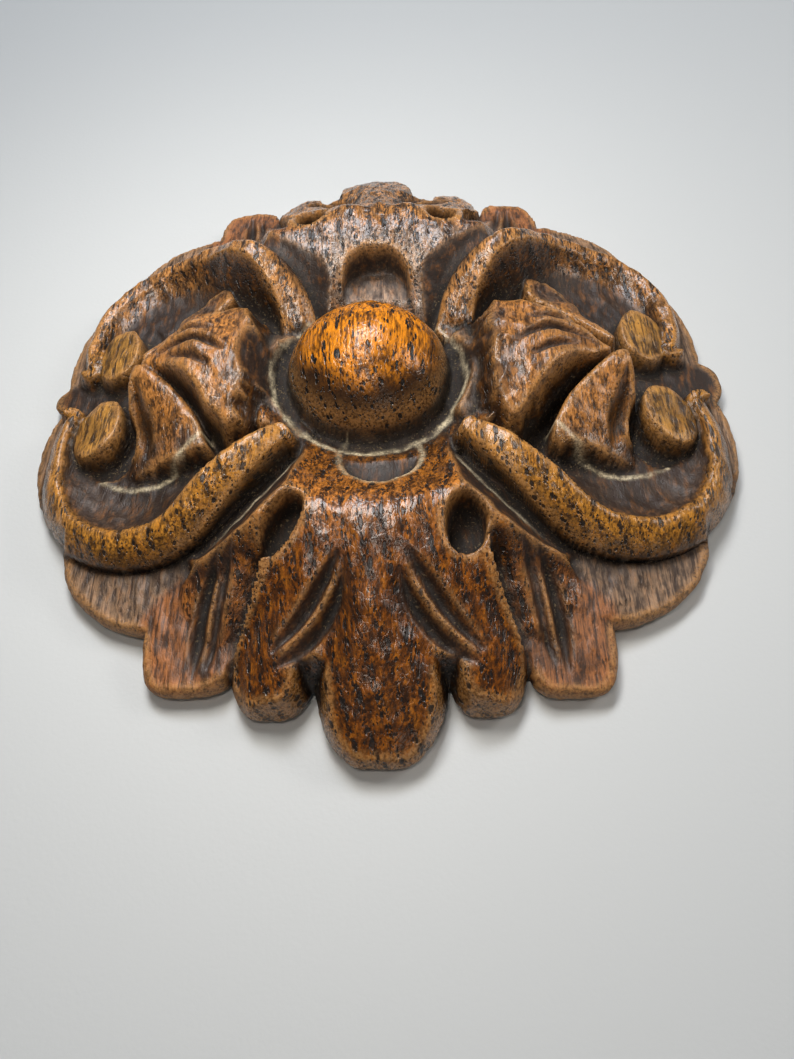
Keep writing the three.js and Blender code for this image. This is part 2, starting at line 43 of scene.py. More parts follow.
# Driving sizes in millimetres, as in the frame
WIDTH = 122.0
LENGTH = 135.0
RIM = 2.7
BACK_BEVEL = 1.0
PLATE_EDGE = 3.3
PLATE_CENTRE = 8.7
DOME_EDGE = 3.5
DOME_TOP = 18.5
BOSS_RADIUS = 14.7
BOSS_FOOT = 8.0
BOSS_TOP = 21.5
MOAT_WIDTH = 1.9
MOAT_FLOOR = 9.3
ROLL_HALF_WIDTH = 2.9
ROLL_DROP = 3.8
COVE_WIDTH = 8.6
SCROLL_GAP = 0.9
NEAR_GAP_SLOPE = 1.25
FAR_GAP_SLOPE = 0.8
FAR_GAP_DEPTH = 3.4
EYE_RADIUS = 4.5
EYE_LENGTH = 12.4
EYE_HEIGHT = 8.6
EYE_HOLLOW_FLOOR = 4.0
FAR_HOLLOW_LIFT = 1.2
FAN_TOP = 18.6
FAN_ROOT = 14.4
FAN_SIDE_TOP = 14.8
FAN_SIDE_LEAN = 4.6
TERRACE_TOP = 12.6
LEAF_GOUGE = 1.6
LEAF_GOUGE_HALF_WIDTH = 1.25
FAN_GOUGE = 1.5
FAN_GOUGE_HALF_WIDTH = 1.15
HOLE_DEPTH = 5.6
SCOOP_FLOOR = 10.4
UNDERCUT = 1.1

# Cell of the mesh's grid, and the step over which slopes are measured
CELL = 0.366
STEP = 0.01

HALF_W = WIDTH / 2
HALF_L = LENGTH / 2
BOSS_AT = (-0.021 * HALF_W, 0.004 * HALF_L)
MOAT_RADIUS = BOSS_RADIUS + MOAT_WIDTH


# Small mathematics on arrays
def clamp(value, low=0.0, high=1.0):
    return np.minimum(np.maximum(value, low), high)


def ease(share):
    share = clamp(share)
    return share * share * (3 - 2 * share)


def mix(a, b, share):
    return a + (b - a) * share


def between(value, a, b, start, end):
    return mix(a, b, ease((value - start) / (end - start)))


def raised(top, away, steep):
    return top - steep * np.maximum(away, 0)


def bump(value):
    return 1 - ease(np.abs(value))


def soft_max(a, b, width):
    share = clamp(0.5 + 0.5 * (a - b) / width)
    return mix(b, a, share) + width * share * (1 - share)


def noise(x, y, size, seed):
    """Smooth random heights from -1 to 1 on a lattice of that size, the same on every run."""
    count = 97
    table = np.random.default_rng(seed).random((count, count)) * 2 - 1
    column, row = np.floor(x / size).astype(int), np.floor(y / size).astype(int)
    across, along = ease(x / size - column), ease(y / size - row)

    def at(i, j):
        return table[(column + i) % count, (row + j) % count]

    return mix(mix(at(0, 0), at(1, 0), across), mix(at(0, 1), at(1, 1), across), along)


def scallops(x, y, size, seed):
    """Shallow hollows that meet in ridges, as gouge cuts side by side leave them: 0 in a hollow's middle."""
    count = 61
    spots = np.random.default_rng(seed).random((count, count, 2))
    column, row = np.floor(x / size).astype(int), np.floor(y / size).astype(int)
    best = np.full(x.shape, 9.0)
    for i in (-1, 0, 1):
        for j in (-1, 0, 1):
            spot = spots[(column + i) % count, (row + j) % count]
            away = (column + i + spot[..., 0] - x / size) ** 2 + (row + j + spot[..., 1] - y / size) ** 2
            best = np.minimum(best, away)
    return best


def blob(x, y, at, radii, power=2.0, turn=0.0):
    """Distance to a superellipse, negative inside. Place and radii are shares of the half sizes."""
    dx, dy = x - at[0] * HALF_W, y - at[1] * HALF_L
    rx, ry = radii[0] * HALF_W, radii[1] * HALF_L
    c, s = np.cos(np.radians(turn)), np.sin(np.radians(turn))
    a = np.abs(dx * c + dy * s) / rx + 1e-9
    b = np.abs(dy * c - dx * s) / ry + 1e-9
    f = (a ** power + b ** power) ** (1 / power)
    return (f - 1) / (f ** (1 - power) * np.hypot(a ** (power - 1) / rx, b ** (power - 1) / ry))


def smooth_line(points, closed=False, steps=6):
    """A smooth line through a few points: shares of half width and half length, then any further columns."""
    p = np.array(points, float)
    p[:, 0] *= HALF_W
    p[:, 1] *= HALF_L
    count = len(p)
    line = []
    for i in range(count if closed else count - 1):
        b, c = p[i], p[(i + 1) % count]
        a = p[i - 1] if closed or i else 2 * b - c
        d = p[(i + 2) % count] if closed or i + 2 < count else 2 * c - b
        for t in np.arange(steps) / steps:
            line.append(0.5 * (2 * b + (c - a) * t + (2 * a - 5 * b + 4 * c - d) * t * t
                               + (3 * b - a - 3 * c + d) * t ** 3))
    line.append(line[0] if closed else p[-1])
    return np.array(line)


def nearest(x, y, line):
    """Distance to a line, positive on its left, the share along it and its further columns there."""
    best = np.full(x.shape, 1e9)
    place = np.zeros(x.shape)
    left = np.ones(x.shape)
    for i, (p, q) in enumerate(zip(line[:-1], line[1:])):
        dx, dy = q[0] - p[0], q[1] - p[1]
        t = clamp(((x - p[0]) * dx + (y - p[1]) * dy) / (dx * dx + dy * dy))
        ex, ey = x - p[0] - dx * t, y - p[1] - dy * t
        away = ex * ex + ey * ey
        closer = away < best
        best = np.where(closer, away, best)
        place = np.where(closer, i + t, place)
        left = np.where(closer, np.where(dx * ey > dy * ex, 1.0, -1.0), left)
    ticks = np.arange(len(line))
    columns = [np.interp(place, ticks, column) for column in line.T]
    return np.sqrt(best) * left, place / (len(line) - 1), columns


def lobe(x, y, line):
    """Distance to a closed line, negative inside."""
    inside = np.zeros(x.shape, bool)
    for (x0, y0), (x1, y1) in zip(line[:-1], line[1:]):
        if y0 != y1:
            inside ^= ((y0 > y) != (y1 > y)) & (x < (x1 - x0) * (y - y0) / (y1 - y0) + x0)
    away = np.abs(nearest(x, y, line)[0])
    return np.where(inside, -away, away)


def gouged(z, x, y, line, depth, half_width):
    """Height after a gouge has cut along a line whose third column narrows it towards its ends."""
    side, _, columns = nearest(x, y, line)
    reach = clamp(1 - np.abs(side) / (half_width * columns[2]))
    return z - depth * columns[2] * (1 - (1 - reach) ** 1.6)


# The four quarters are one pattern, mirrored by sx and sy, each with the small shifts of hand work. leaf_in
# brings a leaf's lobes nearer to the middle line and fan_in sets a fan's inner end back from it, both in
# millimetres.
QUARTERS = [
    dict(sx=-1, sy=-1, shift=(-0.005, -0.013), leaf_in=1.2, fan_in=1.7,
         hole=dict(at=(0.223, 0.516), radii=(0.03, 0.068), turn=-28)),
    dict(sx=1, sy=-1, shift=(0.03, -0.01), hole=dict(at=(0.23, 0.523), radii=(0.039, 0.062), turn=8)),
    dict(sx=-1, sy=1, shift=(-0.023, 0.001), fan_in=1.7,
         hole=dict(at=(0.213, 0.57), radii=(0.036, 0.05), turn=8)),
    dict(sx=1, sy=1, shift=(-0.003, 0.019), hole=dict(at=(0.213, 0.57), radii=(0.036, 0.05), turn=8)),
]


def in_quarter(x, y, quarter):
    u = x * quarter["sx"]
    share = clamp(u / HALF_W)
    return u - quarter["shift"][0] * HALF_W * share, y * quarter["sy"] - quarter["shift"][1] * HALF_L * share


def by_quarter(x, y, rule):
    """Applies a rule(x, y, quarter) to the points of each quarter."""
    result = np.zeros(x.shape)
    for quarter in QUARTERS:
        own = ((x < 0) == (quarter["sx"] < 0)) & ((y < 0) == (quarter["sy"] < 0))
        result[own] = rule(x[own], y[own], quarter)
    return result


# Plan outline
OUTLINE_QUARTER = [
    dict(at=(0.575, 0.166), radii=(0.426, 0.392)),
    dict(at=(0.505, 0.424), radii=(0.353, 0.28), power=2.2),
]
OUTLINE_MIDDLE = [
    dict(at=(0, 0), radii=(0.934, 0.837)),
    dict(at=(-0.469, -0.556), radii=(0.127, 0.277), power=4.5, turn=3),
    dict(at=(0.469, -0.57), radii=(0.118, 0.28), power=4.5, turn=2),
    dict(at=(-0.469, 0.563), radii=(0.116, 0.28), power=4.5, turn=-2),
    dict(at=(0.466, 0.563), radii=(0.107, 0.28), power=4.5, turn=2),
    dict(at=(-0.256, -0.622), radii=(0.111, 0.268), power=3.2, turn=2),
    dict(at=(0.275, -0.622), radii=(0.107, 0.267), power=3.2, turn=-2),
    dict(at=(-0.275, 0.607), radii=(0.105, 0.27), power=3.2, turn=-2),
    dict(at=(0.269, 0.622), radii=(0.103, 0.267), power=3.2, turn=2),
    dict(at=(0.016, -0.652), radii=(0.17, 0.344), power=2.8),
    dict(at=(-0.01, 0.667), radii=(0.165, 0.341), power=2.8),
    dict(at=(-0.915, 0.034), radii=(0.087, 0.053), power=2.2),
    dict(at=(0.934, 0.033), radii=(0.107, 0.086), power=2.4),
]


def outline_distance(x, y):
    def of_quarter(x, y, quarter):
        u, v = in_quarter(x, y, quarter)
        return np.minimum.reduce([blob(u, v, **shape) for shape in OUTLINE_QUARTER])

    middle = np.minimum.reduce([blob(x, y, **shape) for shape in OUTLINE_MIDDLE])
    uneven = 0.14 * noise(x, y, 2.3, 3) + 0.08 * noise(x, y, 0.9, 4)
    return np.minimum(by_quarter(x, y, of_quarter), middle) + uneven


# Domed blank and the ground between the carvings
def spread(x, y):
    return np.hypot(x / HALF_W, y / HALF_L)


def dome(x, y):
    return mix(DOME_TOP, DOME_EDGE, clamp((spread(x, y) - 0.4) / 0.6) ** 1.7)


def plate(x, y):
    return mix(PLATE_CENTRE, PLATE_EDGE, clamp(spread(x, y) ** 2))


# Scroll: middle of the roll from the boss outwards, share of the full width, lift above the dome
NEAR_ROLL = smooth_line([
    (0.252, 0.241, 0.5, -3), (0.313, 0.302, 0.78, -1.8), (0.382, 0.363, 0.95, -1.4),
    (0.439, 0.415, 1, -1.5), (0.498, 0.465, 1, -1.6), (0.557, 0.493, 1, -1.4), (0.626, 0.505, 0.98, -0.6),
    (0.697, 0.504, 0.95, 0.6), (0.78, 0.474, 0.92, 1.8), (0.844, 0.43, 0.86, 2.6),
    (0.885, 0.373, 0.82, 2.75), (0.916, 0.301, 0.79, 2.7), (0.925, 0.23, 0.76, 2.4),
    (0.925, 0.156, 0.71, 1.9), (0.903, 0.089, 0.66, 1.0),
])
FAR_ROLL = smooth_line([
    (0.239, 0.181, 1.14, -8.5), (0.261, 0.262, 1.09, -5.3), (0.305, 0.329, 1.07, -1.9),
    (0.352, 0.376, 1.03, 0.6), (0.403, 0.413, 1.02, 1.7), (0.449, 0.441, 0.98, 1.5),
    (0.495, 0.47, 0.98, 0.7), (0.554, 0.496, 0.98, -0.2), (0.623, 0.51, 0.97, -0.4),
    (0.693, 0.507, 0.95, -0.2), (0.774, 0.481, 0.91, 0.3), (0.838, 0.437, 0.84, 1.1),
    (0.88, 0.379, 0.81, 1.7), (0.91, 0.311, 0.78, 1.9), (0.92, 0.237, 0.74, 1.7),
    (0.918, 0.163, 0.71, 1.3), (0.898, 0.093, 0.66, 0.6),
])
ROLL_WALL = 7.0
NEAR_CROWN = 0.75
FAR_CROWN = 0.1


def own_roll(quarter):
    return FAR_ROLL if quarter["sy"] > 0 else NEAR_ROLL


def scroll(u, v, far):
    """Height of roll and cove, ridge, share along the roll, distance outside it, whether the cove shows."""
    side, along, columns = nearest(u, v, FAR_ROLL if far else NEAR_ROLL)
    crown = FAR_CROWN if far else NEAR_CROWN
    half = columns[2] * ROLL_HALF_WIDTH
    ridge = dome(columns[0], columns[1]) + columns[3]
    across = -side / half
    fall = ROLL_DROP * ease(0.3 + 2.2 * along) * clamp((crown - across) / (1 + crown), 0, 2) ** 1.8
    turned = 0.5 * clamp((across - crown + 0.2) / (1.2 - crown)) ** 2
    outside = (-across - 1) * half
    roll = raised(ridge - fall - turned, outside, ROLL_WALL)
    reach = COVE_WIDTH * ease(along * 3.6) * ease((1 - along) * 3) + 0.8
    inward = (across - 1) * half / reach
    cove = mix(plate(u, v) - 0.3, ridge - 0.9, (1 - clamp(inward)) ** 2.3)
    cove = np.where(inward > 1, 0, cove)
    in_cove = across > 1
    z = np.where(in_cove, cove, roll)
    if far:
        in_cove = inward > 0.4
    outside = np.where(across < 0, outside, np.inf)
    at_end = (along <= 0) | (along >= 1)
    away = np.abs(side) - half
    z = np.where(at_end, raised(ridge - 0.6, away, 3), z)
    outside = np.where(at_end, np.where(along <= 0, away, np.inf), outside)
    return z, ridge, along, outside, in_cove & ~at_end


# Oval eye at the scroll's end, tilted outwards, beside its hollow
EYE_RADII = (EYE_RADIUS / HALF_W, EYE_LENGTH / 2 / HALF_L)
NEAR_EYE = dict(at=(0.806, 0.146), radii=EYE_RADII, power=2.1, turn=-8)
FAR_EYE = dict(at=(0.81, 0.127), radii=EYE_RADII, power=2.1, turn=-8)
EYE_HOLLOW = dict(at=(0.768, 0.192), radii=(0.07, 0.086))
EYE_TILT = 0.42


def eye(u, v, shape):
    away = blob(u, v, **shape)
    top = EYE_HEIGHT - EYE_TILT * (u - shape["at"][0] * HALF_W)
    return raised(top - 0.25 * clamp(1 + away / 0.7) ** 2, away, 6)


# Side fan: a high middle lobe and a leaning lobe on each side of it
FAN_AT = 0.689
FAN_CLIFF = 0.335 * HALF_W
FAN_CLIFF_SLOPE = 1.8
FAN_MIDDLE_ARCH = 0.016
FAN_MIDDLE = smooth_line([
    (0.669, 0.012), (0.615, 0.053), (0.533, 0.104), (0.443, 0.157), (0.374, 0.199), (0.338, 0.148),
    (0.325, 0.052), (0.328, -0.044), (0.341, -0.141), (0.367, -0.21), (0.43, -0.166), (0.485, -0.095),
    (0.566, -0.033), (0.639, -0.009),
], closed=True)
NEAR_FAN_SIDE = smooth_line([
    (0.675, 0.003), (0.611, 0.047), (0.564, 0.089), (0.516, 0.139), (0.489, 0.182), (0.469, 0.225),
    (0.466, 0.255), (0.521, 0.258), (0.574, 0.273), (0.631, 0.281), (0.685, 0.284), (0.702, 0.207),
    (0.708, 0.133), (0.705, 0.067), (0.692, 0.018),
], closed=True)
FAR_FAN_SIDE = smooth_line([
    (0.679, 0.027), (0.623, 0.089), (0.574, 0.145), (0.515, 0.196), (0.475, 0.258), (0.469, 0.319),
    (0.495, 0.344), (0.566, 0.299), (0.633, 0.219), (0.675, 0.127), (0.689, 0.059),
], closed=True)
FAN_MIDDLE_GOUGES = [smooth_line(points) for points in (
    [(0.59, 0.07, 0.3), (0.525, 0.083, 0.8), (0.44, 0.072, 0.3)],
    [(0.62, 0.028, 0.3), (0.54, 0.04, 0.8), (0.47, 0.03, 1), (0.395, -0.013, 0.4)],
    [(0.575, 0.002, 0.3), (0.51, -0.018, 0.8), (0.44, -0.054, 0.6)],
)]
FAN_SIDE_GOUGE = smooth_line([(0.69, 0.059, 0.3), (0.675, 0.119, 0.8), (0.65, 0.185, 1), (0.635, 0.244, 0.5)])
TERRACE = dict(at=(0.293, 0), radii=(0.075, 0.163), power=3.4)
TERRACE_FALL = 0.12
TERRACE_ARCH = 0.025


def fan_middle(u, y, broken):
    away = lobe(u, y, FAN_MIDDLE) + broken
    reach = np.hypot(FAN_AT * HALF_W - u, y)
    top = between(reach, FAN_ROOT, FAN_TOP, 1, 14) - FAN_MIDDLE_ARCH * y * y - between(reach, 0, 1, 16, 24)
    steep = between(u, FAN_CLIFF_SLOPE, 4.5, FAN_CLIFF, FAN_CLIFF + 6)
    return raised(top - 0.4 * clamp(1 + away / 1.0) ** 2, away, steep)


def fan_side(u, v, shape, broken):
    away = lobe(u, v, shape) + broken
    across = FAN_AT * HALF_W - u
    reach = np.hypot(across, v)
    lean = clamp((np.degrees(np.arctan2(v, across)) - 40) / 42, 0, 1.2)
    fall = 1.6 * ease(reach / 20) + FAN_SIDE_LEAN * lean ** 2 * ease(reach / 14)
    fall = fall + between(reach, 0, 1.2, 14, 22)
    top = gouged(FAN_SIDE_TOP - fall, u, v, FAN_SIDE_GOUGE, LEAF_GOUGE, 1.9)
    return raised(top - 0.3 * clamp(1 + away / 1.0) ** 2, away, 5)


def terrace(u, y):
    top = TERRACE_TOP - TERRACE_FALL * (u - 17) - TERRACE_ARCH * y * y
    return raised(top, blob(u, y, **TERRACE), 2.5)


# Leaf: collar that rises from the moat, then a middle lobe and on each side a side and an outer lobe
LEAF_GOUGES = [smooth_line(points) for points in (
    [(0.089, 0.591, 0.4), (0.123, 0.641, 1), (0.185, 0.714, 1.1), (0.252, 0.775, 0.5)],
    [(0.067, 0.63, 0.3), (0.095, 0.686, 1), (0.138, 0.739, 1.1), (0.189, 0.778, 1), (0.239, 0.803, 0.4)],
)]
OUTER_GOUGES = [smooth_line(points) for points in (
    [(0.405, 0.53, 0.3), (0.44, 0.62, 1), (0.458, 0.72, 1), (0.462, 0.80, 0.3)],
    [(0.37, 0.53, 0.3), (0.395, 0.62, 0.8), (0.42, 0.74, 0.6), (0.43, 0.79, 0.2)],
)]
OUTER_GOUGE_HALF_WIDTH = 1.3
SCOOPS = {
    -1: dict(at=(0.015, 0.271), radii=(0.1, 0.113)),
    1: dict(at=(0, 0.278), radii=(0.1, 0.122), power=2.3),
}
COLLAR_SLOPE = {False: 0.6, True: 0.78}
FAR_SIDE_LOBE_DROP = 1.6
NEAR_SIDE_LOBE_DROP = 0.5
MIDDLE_LOBE_ARCH = 1.5
SIDE_LOBE_FALL = 4.6
OUTER_LOBE_DROP = 4.9
OUTER_LOBE_ARCH = 1.0
OUTER_BORDER_DROP = 5.7


def leaf_partings(s):
    """Where the middle lobe ends and the outer lobe starts and ends, at a share of the half length."""
    valley = between(s, 0.048, 0.158, 0.64, 0.9) * HALF_W
    groove = between(s, 0.279, 0.366, 0.548, 0.83) * HALF_W
    border = between(s, 0.393, 0.593, 0.444, 0.696) * HALF_W
    return valley, groove, border


def leaf(u, v, far):
    top = dome(u, v)
    s = v / HALF_L
    valley, groove, border = leaf_partings(s)
    drop = 0.4 + between(s, 0, FAR_SIDE_LOBE_DROP if far else NEAR_SIDE_LOBE_DROP, 0.533, 0.741)
    parting = between(s, 0.1, 1, 0.58, 0.74)
    middle = top + 0.1 - MIDDLE_LOBE_ARCH * parting * clamp(u / valley, 0, 1.5) ** 2
    t = (u - valley) / (groove - valley)
    inner = 1.3 * parting * clamp((0.45 - t) / 0.45, 0, 2) ** 2
    outward = SIDE_LOBE_FALL * clamp((t - 0.45) / 0.55, 0, 1.5) ** 3
    side = top - drop - np.where(t < 0.45, inner, outward)
    t2 = (u - groove) / (border - groove)
    ridge = 1.5 * bump((t2 - 0.3) / 0.3) * between(s, 1, 0.3, 0.5, 0.8)
    outer = top - OUTER_LOBE_DROP - OUTER_LOBE_ARCH * (2 * t2 - 1) ** 2 + ridge
    outer = np.where(t2 > 1, top - OUTER_BORDER_DROP - 3 * (u - border), outer)
    lobes = np.maximum(soft_max(middle, side, 0.8), np.where(t > 0.8, outer - 1.5, 0))
    lobes = np.where(t < 1.02, lobes, outer)
    rise = MOAT_FLOOR + COLLAR_SLOPE[far] * (np.hypot(u, v) - MOAT_RADIUS - 1.4)
    if far:
        rise = -soft_max(-rise, -16 - 0.25 * (v - 27), 1.5)
    rise = rise - 2 * np.maximum(u - 0.336 * HALF_W, 0)
    start = between(s, top + 0.2, lobes, 0.489, 0.593)
    hump = 1.5 * bump((u - 5.8) / 5) * bump((v - 37) / 7) if far else 0
    return -soft_max(-rise, -start - hump, 2)


# Boss and moat
def boss_distance(x, y):
    return np.hypot(x - BOSS_AT[0], y - BOSS_AT[1])


def boss(x, y):
    share = boss_distance(x, y) / BOSS_RADIUS
    return np.where(share < 1, mix(BOSS_FOOT, BOSS_TOP, np.sqrt(clamp(1 - share * share))), 0)


LAYERS = ("ground", "leaf", "cut", "band", "cove", "fan", "eye", "boss", "flute")


def on(name, layer):
    return layer == LAYERS.index(name)


def splintered(x, y):
    """How far the broken ends of the fans stand out or in."""
    return 0.6 * noise(x, y, 2.6, 11) + 0.4 * noise(x, y, 1.1, 12)


def middle_break(x, y):
    """The broken end of a fan's middle lobe, next to the boss."""
    return splintered(x, y) * ease((30 - np.abs(x)) / 6)


def side_break(x, y, v):
    """The broken end of a fan's side lobe, away from the root."""
    return splintered(x, y) * ease((v - 12) / 5)


# fan_in fades out over this stretch, counted from the middle line
FAN_SHIFT_END = 42.0
FAN_SHIFT_LENGTH = 20.0


def fan_offset(u, quarter):
    """Distance from the middle line at which the fan's line is read: fan_in sets its inner end back."""
    return u - quarter.get("fan_in", 0) * clamp((FAN_SHIFT_END - u) / FAN_SHIFT_LENGTH)


def relief(x, y):
    """Height of the carved face and the number of the layer that shows at each point."""
    height = np.zeros(x.shape)
    layer = np.zeros(x.shape, int)
    for quarter in QUARTERS:
        own = ((x < 0) == (quarter["sx"] < 0)) & ((y < 0) == (quarter["sy"] < 0))
        height[own], layer[own] = quarter_relief(x[own], y[own], quarter)
    return height, layer


def quarter_relief(x, y, quarter):
    u, v = in_quarter(x, y, quarter)
    straight_u, straight_v = np.abs(x), np.abs(y)
    z = plate(x, y)
    layer = np.zeros(x.shape, int)

    def put(new, name, higher):
        nonlocal z, layer
        change = new > z if higher else new < z
        z = np.where(change, new, z)
        layer = np.where(change, LAYERS.index(name), layer)

    far = quarter["sy"] > 0
    leaf_u = straight_u + quarter.get("leaf_in", 0) * ease(straight_u / 12)
    put(np.where(straight_v > 8, leaf(leaf_u, straight_v, far), 0), "leaf", True)
    scoop = blob(x, straight_v, **SCOOPS[quarter["sy"]])
    put(SCOOP_FLOOR + 5 * np.maximum(scoop, np.where(straight_v < 12, 9, 0)), "cut", False)
    hole = blob(straight_u, straight_v, **quarter["hole"])
    put(raised(dome(x, y) - HOLE_DEPTH, hole, -6), "cut", False)
    flutes = [(line, LEAF_GOUGE_HALF_WIDTH) for line in LEAF_GOUGES]
    flutes += [(line, OUTER_GOUGE_HALF_WIDTH) for line in OUTER_GOUGES]
    for line, half_width in flutes:
        put(gouged(z, leaf_u, straight_v, line, LEAF_GOUGE, half_width), "flute", False)

    band, ridge, along, outside, in_cove = scroll(u, v, far)
    near_gap = mix(MOAT_FLOOR, plate(x, y) - 0.3, ease((along - 0.02) * 3.2))
    gap_floor = ridge - FAR_GAP_DEPTH if far else near_gap
    gap = gap_floor + (FAR_GAP_SLOPE if far else NEAR_GAP_SLOPE) * np.maximum(outside - SCROLL_GAP, 0)
    put(np.where((outside > -3) & (along < 0.8), gap, 99), "cut", False)
    put(np.where(np.isinf(outside) & (u > 12) & (v < 0.415 * HALF_L), plate(x, y) - 0.3, 99), "cut", False)
    put(np.where(in_cove, band, 0), "cove", True)
    put(np.where(in_cove, 0, band), "band", True)

    put(np.where(u > 10, terrace(straight_u, y), 0), "ground", True)
    fan_u = fan_offset(straight_u, quarter)
    put(np.where(u > 10, fan_middle(fan_u, y, middle_break(x, y)), 0), "fan", True)
    in_fan = on("fan", layer)
    for line in FAN_MIDDLE_GOUGES:
        cut = gouged(z, fan_u, y, line, FAN_GOUGE, FAN_GOUGE_HALF_WIDTH)
        put(np.where(in_fan, cut, 99), "flute", False)
    side_shape = FAR_FAN_SIDE if far else NEAR_FAN_SIDE
    put(np.where(u > 10, fan_side(u, v, side_shape, side_break(x, y, v)), 0), "fan", True)
    at_side = u > HALF_W / 2
    hollow_floor = EYE_HOLLOW_FLOOR + (FAR_HOLLOW_LIFT if far else 0)
    put(np.where(at_side, raised(hollow_floor, blob(u, v, **EYE_HOLLOW), -5), 99), "cut", False)
    put(np.where(at_side, eye(u, v, FAR_EYE if far else NEAR_EYE), 0), "eye", True)
    put(raised(MOAT_FLOOR, boss_distance(x, y) - MOAT_RADIUS, -1.6), "cut", False)
    put(boss(x, y), "boss", True)
    return z, layer


def blurred(values, radius):
    """Mean over a square of the grid, twice, so that it is nearly round."""
    cells = max(int(round(radius / CELL)), 1)
    for _ in range(2):
        for axis in (0, 1):
            pad = [(cells + 1, cells) if a == axis else (0, 0) for a in (0, 1)]
            total = np.cumsum(np.pad(values, pad, mode="edge"), axis=axis)
            size = values.shape[axis]
            window = 2 * cells + 1
            upper = np.take(total, np.arange(size) + window, axis=axis)
            values = (upper - np.take(total, np.arange(size), axis=axis)) / window
    return values


# Depth and size of the marks that tools, breaking and wear left
FACET_DEPTH, FACET_SIZE = 0.55, 3.4
SMALL_FACET_DEPTH, SMALL_FACET_SIZE = 0.16, 1.7
SPLINTER_DEPTH, SPLINTER_SIZE = 1.3, 2.1
BOSS_SHARE = 0.45
SUNK_ALL_OVER = 0.12


def hand_marks(x, y, layer):
    """Facets of the gouges, torn wood on the broken sides and the small unevenness of age and polishing."""
    rough = np.where(on("ground", layer) | on("cut", layer), 1.0, 0.45)
    slow = 0.2 * noise(x, y, 7.1, 21) + 0.1 * noise(x, y, 3.3, 22)
    quick = 0.08 * noise(x, y, 1.3, 23) + 0.05 * noise(x * 2.2, y * 0.7, 1.2, 24)
    turned_x, turned_y = x + 0.4 * y, y - 0.4 * x
    facets = FACET_DEPTH * scallops(turned_x, turned_y * 0.7, FACET_SIZE, 25)
    facets = facets + SMALL_FACET_DEPTH * scallops(x * 1.2, y * 0.6, SMALL_FACET_SIZE, 26)
    on_boss = on("boss", layer)
    torn = (np.abs(x) > 15) & (np.abs(x) < FAN_CLIFF + 3) & (np.abs(y) < 15) & ~on_boss
    splinters = SPLINTER_DEPTH * scallops(x * 0.9, y * 0.6, SPLINTER_SIZE, 27) * blurred(torn * 1.0, 1.0)
    share = np.where(on_boss, BOSS_SHARE, 1)
    return share * (slow + rough * 1.3 * quick + facets) + splinters - SUNK_ALL_OVER


# The rim rises steeply and rounds over within a few millimetres
RIM_RISE = 2.9
RIM_ROUNDING = 0.16
RIM_WIDTH = 6.0


def under_rim(z, x, y):
    inset = np.maximum(-outline_distance(x, y), 0)
    return np.minimum(z, RIM + RIM_RISE * inset - RIM_ROUNDING * np.minimum(inset, RIM_WIDTH) ** 2)


def edge_distances(x, y):
    """Edges that the mesh's points are drawn to, so that they stay crisp."""
    def roll_side(x, y, quarter, edge):
        side, _, columns = nearest(*in_quarter(x, y, quarter), own_roll(quarter))
        return side + edge * columns[2] * ROLL_HALF_WIDTH

    def eye_edge(x, y, quarter):
        return blob(*in_quarter(x, y, quarter), **(FAR_EYE if quarter["sy"] > 0 else NEAR_EYE))

    def fan_middle_edge(x, y, quarter):
        return lobe(fan_offset(np.abs(x), quarter), y, FAN_MIDDLE) + middle_break(x, y)

    def fan_side_edge(x, y, quarter):
        u, v = in_quarter(x, y, quarter)
        shape = FAR_FAN_SIDE if quarter["sy"] > 0 else NEAR_FAN_SIDE
        return lobe(u, v, shape) + side_break(x, y, v)

    edges = [boss_distance(x, y) - BOSS_RADIUS, boss_distance(x, y) - MOAT_RADIUS]
    edges.append(by_quarter(x, y, fan_middle_edge))
    edges.append(by_quarter(x, y, fan_side_edge))
    edges.append(by_quarter(x, y, lambda x, y, quarter: roll_side(x, y, quarter, -1)))
    edges.append(by_quarter(x, y, lambda x, y, quarter: roll_side(x, y, quarter, 1)))
    edges.append(by_quarter(x, y, eye_edge))
    edges.append(by_quarter(x, y, lambda x, y, quarter: blob(np.abs(x), np.abs(y), **quarter["hole"]) - 1.2))
    edges.append(by_quarter(x, y, lambda x, y, quarter: blob(x, np.abs(y), **SCOOPS[quarter["sy"]]) - 1))
    return np.stack(edges)


def with_slope(distance_at, x, y):
    """A distance and how fast it grows along x and along y."""
    d = distance_at(x, y)
    return d, (distance_at(x + STEP, y) - d) / STEP, (distance_at(x, y + STEP) - d) / STEP


def pulled(x, y, distance_at, steps):
    """Moves points onto the line where a distance is nought."""
    for _ in range(steps):
        d, gx, gy = with_slope(distance_at, x, y)
        square = np.maximum(gx * gx + gy * gy, 0.25)
        x, y = x - d * gx / square, y - d * gy / square
    return x, y


# Points nearer to an edge than this share of a cell are drawn onto it
EDGE_REACH = 0.45


def drawn_to_edges(x, y):
    """Moves the points that lie close to an edge onto it."""
    d = edge_distances(x, y)
    which = np.argmin(np.abs(d), axis=0)[None]
    own = np.take_along_axis(d, which, 0)[0]
    gx = (np.take_along_axis(edge_distances(x + STEP, y), which, 0)[0] - own) / STEP
    gy = (np.take_along_axis(edge_distances(x, y + STEP), which, 0)[0] - own) / STEP
    square = np.maximum(gx * gx + gy * gy, 0.25)
    near = np.abs(own) < EDGE_REACH * CELL
    return np.where(near, x - own * gx / square, x), np.where(near, y - own * gy / square, y)


